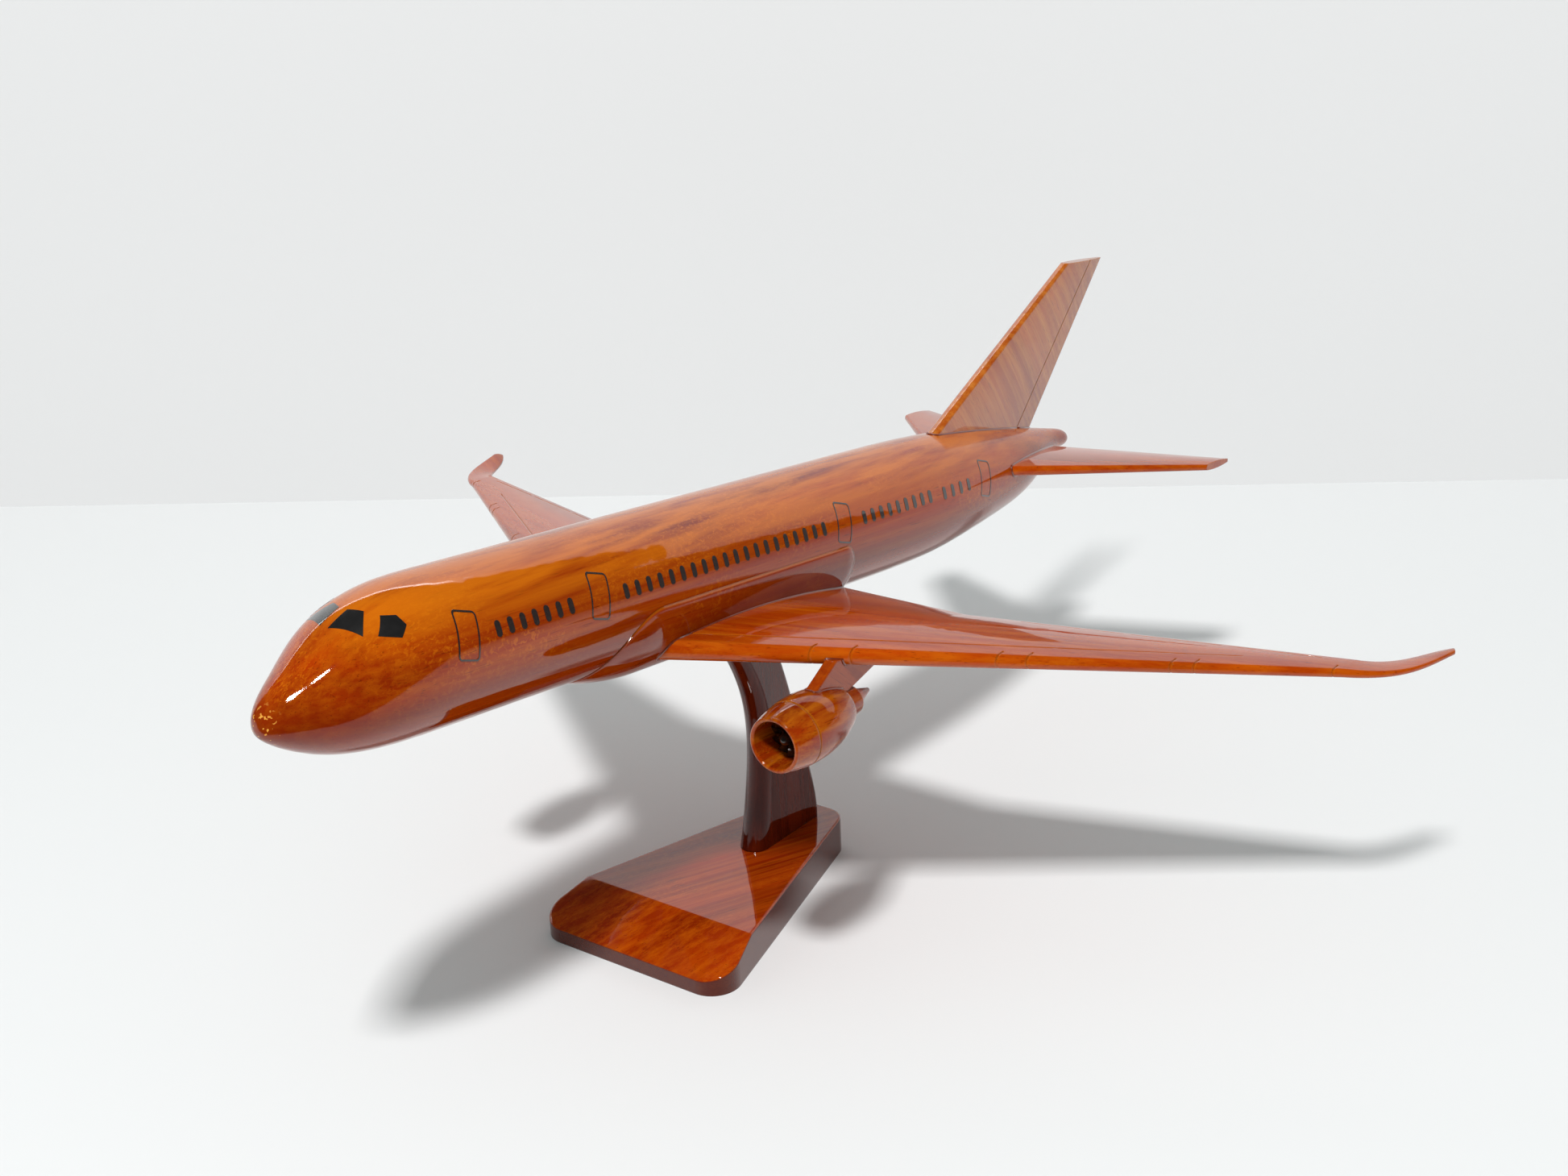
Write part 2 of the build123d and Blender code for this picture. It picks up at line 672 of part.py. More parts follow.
def screw_body(offset):
    """Countersunk wood screw, up through the base into the column."""
    head_length = screw_head_radius - screw_radius
    shank_length = screw_length - head_length - screw_point_length
    head = Cone(screw_head_radius, screw_radius, head_length, align=bottom_aligned)
    shank = Cylinder(screw_radius, shank_length, align=bottom_aligned)
    point = Cone(screw_radius, screw_point_radius, screw_point_length, align=bottom_aligned)
    body = head + Pos(0, 0, head_length) * (shank + Pos(0, 0, shank_length) * point)
    return Pos(0, offset, screw_recess) * body


def screw_slot(offset):
    slot = Box(3 * screw_head_radius, screw_slot_width, screw_slot_depth, align=bottom_aligned)
    return Pos(0, offset, screw_recess) * slot


def base_with_holes():
    board = base_body()
    for offset in screw_offsets:
        board -= screw_body(offset)
        board -= Pos(0, offset, 0) * Cylinder(screw_head_radius, screw_recess, align=bottom_aligned)
    return board


# assembly

def wing_dowels():
    rods = []
    for station in wing_dowel_stations:
        start = (wing_dowel_inner_end, station, wing_bottom + wing_dowel_height)
        rods.append(rod(start, (1, 0, 0), wing_dowel_radius, wing_dowel_length))
    return rods


def fin_dowels():
    return [rod((0, station, fin_dowel_foot), (0, 0, 1), tail_dowel_radius, tail_dowel_length)
            for station in fin_dowel_stations]


def stab_dowels():
    return [rod((stab_dowel_inner_end, station, stab_height), (1, 0, 0), tail_dowel_radius, tail_dowel_length)
            for station in stab_dowel_stations]


def peg_body():
    return rod(peg_axis_start(peg_in_column), aircraft_up(), peg_radius, peg_in_column + peg_in_aircraft)


def stand_pieces():
    screws = [screw_body(offset) - screw_slot(offset) for offset in screw_offsets]
    return {"stand_base": base_with_holes(), "stand_column": column_body(),
            "column_screws": group(screws), "stand_peg": peg_body()}


def engine_pieces():
    """Port engine in the engine's own frame."""
    return {"nacelle": nacelle_body(), "core_nozzle": core_body(), "exhaust_cone": cone_body(),
            "fan": fan_body(), "spinner": spinner_body(), "fan_brad": brad_body()}


def port_pieces(hull, grown, fairing_blank):
    """Everything on the port side, trimmed where it meets its neighbours."""
    wing_blank = wing_body()
    grooves = [slit - wing_body(groove_depth) for slit in wing_grooves()]
    brads = pylon_brads()
    wing = wing_blank - hull - fairing_blank - grooves - wing_dowels() - brads
    engine = {name: engine_place * piece for name, piece in engine_pieces().items()}
    pylon = pylon_blank() - wing_blank - engine["nacelle"] - engine["core_nozzle"] - brads
    engine["nacelle"] -= brads
    pieces = {"wing": wing, "wing_dowels": group(wing_dowels()), "pylon": pylon, "pylon_brads": group(brads),
              "stabiliser": stab_body() - hull - stab_dowels(), "stabiliser_dowels": group(stab_dowels()),
              "cabin_windows": group([(grown & prism) - hull for prism in cabin_prisms()]),
              "door_outlines": group([(grown & prism) - hull for prism in door_prisms()])}
    pieces.update(engine)
    return pieces


def aircraft_pieces():
    hull = fuselage_body()
    fairing_blank = fairing_body()
    socket = rod((0, peg_station, -fairing_flat - overcut), (0, 0, 1), peg_radius + peg_fit,
                 peg_in_aircraft + peg_socket_spare + overcut)
    side_rods = wing_dowels() + stab_dowels()
    rods = side_rods + [mirrored(side_rod) for side_rod in side_rods] + fin_dowels()
    grown = fuselage_body(transfer_thickness)
    fin_line = rudder_groove() - fin_body(groove_depth)
    pieces = {"fuselage": hull - rods - socket, "belly_fairing": fairing_blank - hull - rods - socket,
              "fin": fin_body() - hull - fin_line - fin_dowels(), "fin_dowels": group(fin_dowels()),
              "cockpit_windows": group([(grown & prism) - hull for prism in pane_prisms()])}
    for name, piece in port_pieces(hull, grown, fairing_blank).items():
        pieces[name + "_port"] = piece
        pieces[name + "_starboard"] = mirrored(piece)
    return {name: aircraft_place * piece for name, piece in pieces.items()}


def middle_of_length():
    """Halfway between the tip of the nose and the top of the fin's trailing edge."""
    nose = aircraft_place * Pos(0, 0, -nose_tip_drop * radius)
    rear = aircraft_place * Pos(0, fin_tip_trail, fin_height)
    return (nose.position.Y + rear.position.Y) / 2


centred = Pos(0, -middle_of_length(), 0)
pieces = stand_pieces()
pieces.update(aircraft_pieces())
os.makedirs("parts", exist_ok=True)
for name, piece in pieces.items():
    export_step(centred * piece, "parts/" + name + ".step")
print(len(pieces), "pieces, moved", round(-middle_of_length(), 3), "mm along Y")
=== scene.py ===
import bpy
import bmesh
import json
import math
from bisect import bisect_left
from mathutils import Matrix, Vector
from mathutils.bvhtree import BVHTree


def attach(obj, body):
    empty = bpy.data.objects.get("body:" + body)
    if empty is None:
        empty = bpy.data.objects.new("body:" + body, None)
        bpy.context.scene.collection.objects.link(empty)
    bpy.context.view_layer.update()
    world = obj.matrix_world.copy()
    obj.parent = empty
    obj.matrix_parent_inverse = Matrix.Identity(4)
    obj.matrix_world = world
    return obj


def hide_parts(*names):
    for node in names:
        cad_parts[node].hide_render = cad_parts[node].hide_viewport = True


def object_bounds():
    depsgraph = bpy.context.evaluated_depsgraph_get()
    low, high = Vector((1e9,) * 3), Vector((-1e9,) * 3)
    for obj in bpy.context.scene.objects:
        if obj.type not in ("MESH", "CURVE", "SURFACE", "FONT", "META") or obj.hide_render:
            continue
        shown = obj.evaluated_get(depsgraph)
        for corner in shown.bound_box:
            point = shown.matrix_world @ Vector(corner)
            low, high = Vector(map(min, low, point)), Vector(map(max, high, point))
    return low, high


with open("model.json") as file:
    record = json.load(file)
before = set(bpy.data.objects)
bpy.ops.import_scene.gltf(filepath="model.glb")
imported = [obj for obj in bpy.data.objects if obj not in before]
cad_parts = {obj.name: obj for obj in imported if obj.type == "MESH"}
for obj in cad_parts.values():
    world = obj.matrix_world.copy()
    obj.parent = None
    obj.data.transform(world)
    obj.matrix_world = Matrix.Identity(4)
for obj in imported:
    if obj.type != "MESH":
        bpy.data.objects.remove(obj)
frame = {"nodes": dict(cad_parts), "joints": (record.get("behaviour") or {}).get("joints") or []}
cadLow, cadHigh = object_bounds()
nodes = frame["nodes"]
joints = {joint["name"]: joint for joint in frame["joints"]}
up = Vector(joints["lift_off"]["axis"]).normalized()
print("frame loaded,", len(nodes), "nodes")

# stage: table, wall behind it, one key light high in front and a strip along the top of the wall

stage = {"tableSize": 5.0, "tableGrey": 0.80, "sheetEdge": 0.30, "sheetRise": 0.0002, "wallAway": 0.390,
         "wallTurn": 33.0, "wallSpan": (-1.1, 0.95), "wallHeight": 0.60, "wallGrey": 0.45, "wallGlow": 0.34}
paper = {"speck": 3.0, "shade": 0.985, "roughness": 0.9, "specular": 0.1}
camera = {"yaw": 37.41, "pitch": 21.0, "roll": 2.42, "lens": 47.93, "sensor": 36, "near": 0.01, "far": 50,
          "place": (0.3858, -0.5026, 0.3407)}
keyLight = {"place": (0.540, -1.056, 1.89), "size": 0.24, "length": 0.24, "power": 40.0,
            "target": (0.0, 0.0, 0.08)}
room = {"backdrop": (0.80, 0.80, 0.80), "fill": (0.36, 0.40, 0.40), "mirrored": (0.03, 0.03, 0.03)}
wallStrip = {"size": 1.7, "length": 0.018, "power": 0.55, "along": -0.05, "height": 0.572, "offWall": 0.01,
             "target": (0.0, 0.0, 0.13)}


def newMaterial(name):
    made = bpy.data.materials.new(name)
    made.use_nodes = True
    tree = made.node_tree
    return made, tree, tree.nodes["Principled BSDF"]


def addNode(tree, kind, **settings):
    made = tree.nodes.new("ShaderNode" + kind)
    for key, value in settings.items():
        setattr(made, key, value)
    return made


def ramp(tree, value, low, high, lowColour=(0, 0, 0, 1), highColour=(1, 1, 1, 1)):
    made = addNode(tree, "ValToRGB")
    first, last = made.color_ramp.elements
    first.position, last.position = low, high
    first.color, last.color = lowColour, highColour
    tree.links.new(value, made.inputs["Fac"])
    return made.outputs["Color"]


def mixColour(tree, share, first, second, blend="MIX"):
    made = addNode(tree, "Mix", data_type="RGBA", blend_type=blend)
    for socket, value in ((made.inputs[0], share), (made.inputs[6], first), (made.inputs[7], second)):
        if isinstance(value, (int, float)):
            socket.default_value = value
        elif isinstance(value, tuple):
            socket.default_value = value + (1,) if len(value) == 3 else value
        else:
            tree.links.new(value, socket)
    return made.outputs[2]


def newPiece(name, bm, *materials, smooth=True):
    mesh = bpy.data.meshes.new(name)
    bm.to_mesh(mesh)
    bm.free()
    mesh.polygons.foreach_set("use_smooth", [smooth] * len(mesh.polygons))
    for finish in materials:
        mesh.materials.append(finish)
    made = bpy.data.objects.new(name, mesh)
    bpy.context.collection.objects.link(made)
    return made


def matteGrey(name, grey, glow=0.0):
    made, tree, shader = newMaterial(name)
    speck = addNode(tree, "TexNoise")
    speck.inputs["Scale"].default_value = paper["speck"]
    shades = addNode(tree, "ValToRGB")
    for stop, shade in zip(shades.color_ramp.elements, (grey * paper["shade"], grey)):
        stop.color = (shade, shade, shade, 1)
    tree.links.new(speck.outputs["Fac"], shades.inputs["Fac"])
    tree.links.new(shades.outputs["Color"], shader.inputs["Base Color"])
    shader.inputs["Roughness"].default_value = paper["roughness"]
    shader.inputs["Specular IOR Level"].default_value = paper["specular"]
    shader.inputs["Emission Color"].default_value = (1, 1, 1, 1)
    shader.inputs["Emission Strength"].default_value = glow
    return made


def oneSided(finish):  # the wall's back lets everything through
    tree = finish.node_tree
    clear = addNode(tree, "BsdfTransparent")
    chooser = addNode(tree, "MixShader")
    side = addNode(tree, "NewGeometry")
    tree.links.new(side.outputs["Backfacing"], chooser.inputs["Fac"])
    tree.links.new(tree.nodes["Principled BSDF"].outputs[0], chooser.inputs[1])
    tree.links.new(clear.outputs[0], chooser.inputs[2])
    tree.links.new(chooser.outputs[0], tree.nodes["Material Output"].inputs["Surface"])
    return finish


def turned(angle, size=3, axis="Z"):
    return Matrix.Rotation(math.radians(angle), size, axis)


def addTable():  # a floor that the lacquer doesn't mirror, and on it a sheet that it does
    finish = matteGrey("tablePaper", stage["tableGrey"])
    size = stage["tableSize"]
    bm = bmesh.new()
    bmesh.ops.create_grid(bm, x_segments=1, y_segments=1, size=size)
    bmesh.ops.translate(bm, vec=(0, 0, -stage["sheetRise"]), verts=bm.verts)
    floor = newPiece("floor", bm, finish, smooth=False)
    floor.visible_glossy = False
    bm = bmesh.new()
    bmesh.ops.create_grid(bm, x_segments=1, y_segments=1, size=size)
    bmesh.ops.translate(bm, vec=(0, size - stage["sheetEdge"], 0), verts=bm.verts)
    bmesh.ops.rotate(bm, matrix=turned(camera["yaw"]), verts=bm.verts)
    newPiece("sheet", bm, finish, smooth=False)


def addWall():
    left, right = stage["wallSpan"]
    height = stage["wallHeight"]
    bm = bmesh.new()
    bmesh.ops.create_grid(bm, x_segments=1, y_segments=1, size=0.5)
    bmesh.ops.scale(bm, vec=(right - left, height, 1), verts=bm.verts)
    bmesh.ops.translate(bm, vec=((left + right) / 2, height / 2, 0), verts=bm.verts)
    bmesh.ops.rotate(bm, matrix=turned(90, axis="X"), verts=bm.verts)
    bmesh.ops.translate(bm, vec=(0, stage["wallAway"], 0), verts=bm.verts)
    bmesh.ops.rotate(bm, matrix=turned(stage["wallTurn"]), verts=bm.verts)
    finish = oneSided(matteGrey("wallPaper", stage["wallGrey"], stage["wallGlow"]))
    wall = newPiece("wall", bm, finish, smooth=False)
    wall.visible_shadow = False


def addLight(name, look, lights=True):  # without lights it only shows as a mirrored highlight
    lamp = bpy.data.lights.new(name, "AREA")
    lamp.energy = look["power"]
    lamp.shape = "RECTANGLE"
    lamp.size, lamp.size_y = look["size"], look["length"]
    made = bpy.data.objects.new(name, lamp)
    made.location = look["place"]
    away = Vector(look["target"]) - Vector(look["place"])
    made.rotation_euler = away.to_track_quat("-Z", "Y").to_euler()
    made.visible_camera = False
    made.visible_diffuse = lights
    bpy.context.collection.objects.link(made)


def addWorld():  # pale surroundings that light softly; the lacquer mirrors a darker room
    world = bpy.data.worlds.new("room")
    world.use_nodes = True
    tree = world.node_tree
    rays = addNode(tree, "LightPath")
    seen = mixColour(tree, rays.outputs["Is Camera Ray"], room["fill"], room["backdrop"])
    tree.links.new(mixColour(tree, rays.outputs["Is Glossy Ray"], seen, room["mirrored"]),
                   tree.nodes["Background"].inputs["Color"])
    bpy.context.scene.world = world


def addCamera():
    lens = bpy.data.cameras.new("camera")
    lens.lens = camera["lens"]
    lens.sensor_width = camera["sensor"]
    lens.clip_start, lens.clip_end = camera["near"], camera["far"]
    eye = bpy.data.objects.new("camera", lens)
    tilt = turned(90 - camera["pitch"], 4, "X")
    facing = turned(camera["yaw"], 4) @ tilt @ turned(-camera["roll"], 4)
    eye.matrix_world = Matrix.Translation(camera["place"]) @ facing
    bpy.context.collection.objects.link(eye)
    bpy.context.scene.camera = eye


addTable()
addWall()
addLight("keyLight", keyLight)
offWall = stage["wallAway"] - wallStrip["offWall"]
wallStrip["place"] = turned(stage["wallTurn"]) @ Vector((wallStrip["along"], offWall, wallStrip["height"]))
addLight("wallStrip", wallStrip, lights=False)
addWorld()
addCamera()
bpy.context.scene.view_settings.view_transform = "Standard"
print("stage, lights and camera placed")

# wood, lacquer and the small finishes

# the edge turn and edge share below set a painted highlight: rounded edges are drawn in the light wood colour
lacquer = {"ior": 1.6, "roughness": 0.03, "faceOn": 0.32, "slant": (0.08, 0.50), "edge": 0.0007,
           "paintedEdgeTurn": (0.80, 0.985), "paintedEdgeShare": 0.55,
           "coats": ({"size": 0.012, "height": 0.00005, "shift": 0.0},
                     {"size": 0.0025, "height": 0.0000035, "shift": 5.0})}
bareWood = {"roughness": 0.55, "specular": 0.0}

# layers of figure in the wood: how finely each varies along x, y and z, and where its mask begins and ends;
# low means that the mask is on where the noise is low
grain = {
    "bands": {"scale": (55, 5, 55), "shift": 0, "detail": 2.0, "twist": 0.4, "mask": (0.25, 0.62)},
    "streaks": {"scale": (420, 9, 420), "shift": 0, "detail": 5.0, "roughness": 0.6, "mask": (0.40, 0.72)},
    "flecks": {"scale": (1500, 620, 700), "shift": 3, "detail": 2.0, "twist": 0.8, "mask": (0.50, 0.68)},
    "patches": {"scale": (60, 22, 60), "shift": 9, "detail": 1.0, "mask": (0.40, 0.65)},
    "pores": {"scale": (3200, 130, 3200), "shift": 7, "detail": 1.0, "mask": (0.27, 0.36), "low": True},
    # the crown streaks layer breaks up the painted sheen along the crown
    "crownSheenStreaks": {"scale": (260, 7, 260), "shift": 11, "detail": 3.0, "mask": (0.30, 0.58)},
    "chips": {"scale": (900, 900, 900), "shift": 9, "detail": 1.0, "mask": (0.64, 0.66)},
}
pore = {"share": 0.6, "shade": 0.5}
# painted shade on the upright sides of the base: how strongly, how dark, and over which slope of the face it
# fades
sideShade = {"share": 0.85, "shade": 0.25, "slope": (0.15, 0.60)}
# painted sheen along the crown and painted shade towards the keel: how far below the top each band starts and
# ends, and how strongly it is mixed in
crownSheenKeelShade = {"paintedSheenShare": 0.75, "pale": (0.0145, 0.0045), "paintedShadeShare": 0.65, "dark": (0.020, 0.029)}
worn = {"reach": (0.0045, 0.0015), "colour": (0.75, 0.33, 0.05)}
noiseSlide = (1.0, 0.7, 1.3)  # one shift moves a noise by this much along x, y and z
white, black = (1, 1, 1, 1), (0, 0, 0, 1)

woods = {
    "fuselageWood": {"dark": (0.16, 0.012, 0.0005), "mid": (0.36, 0.033, 0.0005),
                     "light": (0.60, 0.150, 0.003), "streak": 0.36, "fleck": 0.55, "turn": (6, 0, 0),
                     "shift": 0.0, "ior": 1.68},
    "wingWood": {"dark": (0.24, 0.020, 0.0005), "mid": (0.42, 0.048, 0.001), "light": (0.60, 0.150, 0.004),
                 "streak": 0.45, "fleck": 0.15, "turn": (0, 0, 62), "shift": 0.31, "ior": 1.70},
    "starboardWingWood": {"dark": (0.24, 0.020, 0.0005), "mid": (0.42, 0.048, 0.001),
                          "light": (0.60, 0.150, 0.004), "streak": 0.45, "fleck": 0.15, "turn": (0, 0, -62),
                          "shift": 0.77, "ior": 1.70},
    # painted highlight: the fin's tones are paler than the rest of the mahogany, standing in for the broad
    # highlight that the fin catches
    "finWoodPaintedHighlight": {"dark": (0.30, 0.040, 0.002), "mid": (0.50, 0.110, 0.010), "light": (0.68, 0.26, 0.04),
                "streak": 0.55, "fleck": 0.15, "turn": (55, 0, 0), "shift": 1.3, "ior": 2.3},
    "engineWood": {"dark": (0.14, 0.009, 0.0005), "mid": (0.29, 0.027, 0.001), "light": (0.62, 0.19, 0.006),
                   "streak": 0.45, "fleck": 0.25, "turn": (6, 0, 0), "shift": 2.1, "ior": 1.68},
    "pylonWood": {"dark": (0.13, 0.011, 0.0005), "mid": (0.28, 0.030, 0.001), "light": (0.45, 0.085, 0.003),
                  "streak": 0.45, "fleck": 0.10, "turn": (40, 0, 0), "shift": 2.9, "ior": 1.68},
    "columnWood": {"dark": (0.035, 0.003, 0.001), "mid": (0.080, 0.006, 0.001), "light": (0.15, 0.016, 0.002),
                   "streak": 0.45, "fleck": 0.08, "turn": (90, 0, 0), "shift": 3.7, "ior": 1.60},
    "baseWood": {"dark": (0.15, 0.009, 0.0005), "mid": (0.34, 0.030, 0.001), "light": (0.58, 0.125, 0.003),
                 "streak": 0.45, "fleck": 0.30, "turn": (0, 0, 25), "shift": 4.4, "ior": 1.75},
}


def grainNoise(tree, coords, scale, shift, detail=3.0, roughness=0.55, twist=0.0):
    place = addNode(tree, "Mapping")
    place.inputs["Scale"].default_value = scale
    place.inputs["Location"].default_value = [shift * share for share in noiseSlide]
    made = addNode(tree, "TexNoise")
    made.inputs["Scale"].default_value = 1.0
    made.inputs["Detail"].default_value = detail
    made.inputs["Roughness"].default_value = roughness
    made.inputs["Distortion"].default_value = twist
    tree.links.new(coords, place.inputs["Vector"])
    tree.links.new(place.outputs["Vector"], made.inputs["Vector"])
    return made.outputs["Fac"]


def figureMask(tree, coords, layer, shift=0.0):
    look = grain[layer]
    noise = grainNoise(tree, coords, look["scale"], look["shift"] + shift, look["detail"],
                       look.get("roughness", 0.55), look.get("twist", 0.0))
    if look.get("low"):
        return ramp(tree, noise, *look["mask"], white, black)
    return ramp(tree, noise, *look["mask"])


def between(tree, value, low, high):  # 0 at low and 1 at high
    made = addNode(tree, "MapRange")
    made.inputs["From Min"].default_value = low
    made.inputs["From Max"].default_value = high
    tree.links.new(value, made.inputs["Value"])
    return made.outputs[0]


def faded(tree, share, mask):
    return mixColour(tree, share, (0, 0, 0), mask)


def paintedEdgeHighlight(tree, rounded):  # painted highlight: edges that the bevel rounds are mixed towards the light wood colour, standing in for the light that the lacquered edges catch
    side = addNode(tree, "NewGeometry")
    facing = addNode(tree, "VectorMath", operation="DOT_PRODUCT")
    tree.links.new(rounded, facing.inputs[0])
    tree.links.new(side.outputs["Normal"], facing.inputs[1])
    return ramp(tree, facing.outputs["Value"], *lacquer["paintedEdgeTurn"], white, black)


def lacquerBump(tree, coords, rounded):  # slow waves, and a finer skin on them
    normal = rounded
    for coat in lacquer["coats"]:
        bump = addNode(tree, "Bump")
        bump.inputs["Strength"].default_value = 1.0
        bump.inputs["Distance"].default_value = coat["height"]
        noise = grainNoise(tree, coords, (1 / coat["size"],) * 3, coat["shift"], detail=1.0)
        tree.links.new(noise, bump.inputs["Height"])
        tree.links.new(normal, bump.inputs["Normal"])
        normal = bump.outputs["Normal"]
    return normal


def glossShare(tree):  # the lacquer looks clear face on and mirrors at a slant
    slant = addNode(tree, "LayerWeight")
    share = addNode(tree, "MapRange")
    for end, value in zip(("From Min", "From Max"), lacquer["slant"]):
        share.inputs[end].default_value = value
    share.inputs["To Min"].default_value = lacquer["faceOn"]
    tree.links.new(slant.outputs["Facing"], share.inputs["Value"])
    return share.outputs[0]


def paintedSideShadeMask(tree):  # painted shade: the upright sides of the board are drawn darker than its top
    side = addNode(tree, "NewGeometry")
    split = addNode(tree, "SeparateXYZ")
    tree.links.new(side.outputs["Normal"], split.inputs[0])
    return faded(tree, sideShade["share"], ramp(tree, split.outputs["Z"], *sideShade["slope"], white, black))


def darker(colour, shade):
    return tuple(part * shade for part in colour)


def paintedCrownSheenKeelShade(tree, coords, colour, look):  # painted sheen and painted shade: paler along the top of the fuselage where light falls, darker towards the keel where it is shaded
    rise = addNode(tree, "VectorMath", operation="DOT_PRODUCT")
    tree.links.new(coords, rise.inputs[0])
    rise.inputs[1].default_value = up
    height = rise.outputs["Value"]
    top = max(vert.co.dot(up) for vert in nodes["fuselage"].data.vertices)
    # painted shade: darker towards the keel
    keel = between(tree, height, *(top - drop for drop in crownSheenKeelShade["dark"]))
    colour = mixColour(tree, faded(tree, crownSheenKeelShade["paintedShadeShare"], keel), colour, look["dark"])
    # painted sheen: paler along the crown, broken into streaks
    pale = between(tree, height, *(top - drop for drop in crownSheenKeelShade["pale"]))
    both = mixColour(tree, 1.0, pale, figureMask(tree, coords, "crownSheenStreaks"), "MULTIPLY")
    return mixColour(tree, faded(tree, crownSheenKeelShade["paintedSheenShare"], both), colour, look["light"])


def wornWood(tree, coords, colour, tip):  # chips round the nose tip
    split = addNode(tree, "SeparateXYZ")
    tree.links.new(coords, split.inputs[0])
    near = between(tree, split.outputs["Y"], *(tip + reach for reach in worn["reach"]))
    both = addNode(tree, "Math", operation="MULTIPLY")
    tree.links.new(figureMask(tree, coords, "chips"), both.inputs[0])
    tree.links.new(near, both.inputs[1])
    return mixColour(tree, both.outputs[0], colour, worn["colour"])


def lacqueredWood(name, wornFrom=None):
    look = woods[name]
    made, tree, shader = newMaterial(name)
    place = addNode(tree, "TexCoord")
    turn = addNode(tree, "Mapping")
    turn.inputs["Rotation"].default_value = [math.radians(angle) for angle in look["turn"]]
    tree.links.new(place.outputs["Object"], turn.inputs["Vector"])
    coords = turn.outputs["Vector"]
    shift = look["shift"]
    figure = ("bands", "streaks", "flecks", "patches", "pores")
    bands, streaks, flecks, patches, pores = (figureMask(tree, coords, layer, shift) for layer in figure)
    colour = mixColour(tree, bands, look["dark"], look["mid"])
    colour = mixColour(tree, faded(tree, look["streak"], streaks), colour, look["light"])
    gathered = mixColour(tree, 1.0, flecks, patches, "MULTIPLY")
    colour = mixColour(tree, faded(tree, look["fleck"], gathered), colour, look["light"])
    colour = mixColour(tree, faded(tree, pore["share"], pores), colour, darker(look["dark"], pore["shade"]))
    bevel = addNode(tree, "Bevel", samples=4)
    bevel.inputs["Radius"].default_value = lacquer["edge"]
    # painted highlight: rounded edges are mixed towards the light wood colour
    paintedEdgeMask = faded(tree, lacquer["paintedEdgeShare"], paintedEdgeHighlight(tree, bevel.outputs["Normal"]))
    colour = mixColour(tree, paintedEdgeMask, colour, look["light"])
    if wornFrom is not None:
        # painted sheen on the crown and painted shade towards the keel
        colour = paintedCrownSheenKeelShade(tree, place.outputs["Object"], colour, look)
        colour = wornWood(tree, place.outputs["Object"], colour, wornFrom)
    # painted shade: the upright sides of the base are drawn darker
    if name == "baseWood":
        colour = mixColour(tree, paintedSideShadeMask(tree), colour, darker(look["dark"], sideShade["shade"]))
    tree.links.new(colour, shader.inputs["Base Color"])
    shader.inputs["Roughness"].default_value = bareWood["roughness"]
    shader.inputs["Specular IOR Level"].default_value = bareWood["specular"]
    tree.links.new(glossShare(tree), shader.inputs["Coat Weight"])
    shader.inputs["Coat Roughness"].default_value = lacquer["roughness"]
    shader.inputs["Coat IOR"].default_value = look["ior"]
    tree.links.new(bevel.outputs["Normal"], shader.inputs["Normal"])
    tree.links.new(lacquerBump(tree, place.outputs["Object"], bevel.outputs["Normal"]),
                   shader.inputs["Coat Normal"])
    return made


plains = {
    "windowInk": {"low": (0.006, 0.005, 0.005), "high": (0.030, 0.012, 0.008), "roughness": 0.35,
                  "metal": 0.0, "coat": 1.0, "size": 900},
    "paneInk": {"low": (0.004, 0.004, 0.004), "high": (0.012, 0.011, 0.011), "roughness": 0.3, "metal": 0.0,
                "coat": 1.0, "size": 400},
    "fanMetal": {"low": (0.014, 0.011, 0.010), "high": (0.050, 0.036, 0.028), "roughness": 0.22, "metal": 0.7,
                 "coat": 0.6, "size": 1500},
    "birch": {"low": (0.50, 0.33, 0.17), "high": (0.66, 0.48, 0.28), "roughness": 0.6, "metal": 0.0,
              "coat": 0.0, "size": 700},
    "brass": {"low": (0.55, 0.38, 0.13), "high": (0.75, 0.56, 0.25), "roughness": 0.3, "metal": 1.0,
              "coat": 0.0, "size": 2500},
    "zincSteel": {"low": (0.42, 0.42, 0.43), "high": (0.62, 0.62, 0.60), "roughness": 0.35, "metal": 1.0,
                  "coat": 0.0, "size": 1800},
    "glueLacquer": {"low": (0.10, 0.010, 0.001), "high": (0.22, 0.025, 0.002), "roughness": 0.3, "metal": 0.0,
                    "coat": 1.0, "size": 600},
}


scratched = {"long": 0.3, "fine": 3, "gloss": (0.8, 1.25), "strength": 0.4, "depth": 0.00002}


def plainFinish(name):
    look = plains[name]
    made, tree, shader = newMaterial(name)
    place = addNode(tree, "TexCoord")
    coords = place.outputs["Object"]
    patches = grainNoise(tree, coords, (look["size"],) * 3, 1.0)
    tree.links.new(mixColour(tree, patches, look["low"], look["high"]), shader.inputs["Base Color"])
    fine = look["size"] * scratched["fine"]
    scratch = grainNoise(tree, coords, (fine, look["size"] * scratched["long"], fine), 2.0)
    tone = addNode(tree, "MapRange")
    for end, share in zip(("To Min", "To Max"), scratched["gloss"]):
        tone.inputs[end].default_value = look["roughness"] * share
    tree.links.new(scratch, tone.inputs["Value"])
    tree.links.new(tone.outputs[0], shader.inputs["Roughness"])
    shader.inputs["Metallic"].default_value = look["metal"]
    shader.inputs["Coat Weight"].default_value = look["coat"]
    shader.inputs["Coat Roughness"].default_value = lacquer["roughness"]
    shader.inputs["Coat IOR"].default_value = lacquer["ior"]
    relief = addNode(tree, "Bump")
    relief.inputs["Strength"].default_value = scratched["strength"]
    relief.inputs["Distance"].default_value = scratched["depth"]
    tree.links.new(scratch, relief.inputs["Height"])
    tree.links.new(relief.outputs["Normal"], shader.inputs["Normal"])
    return made


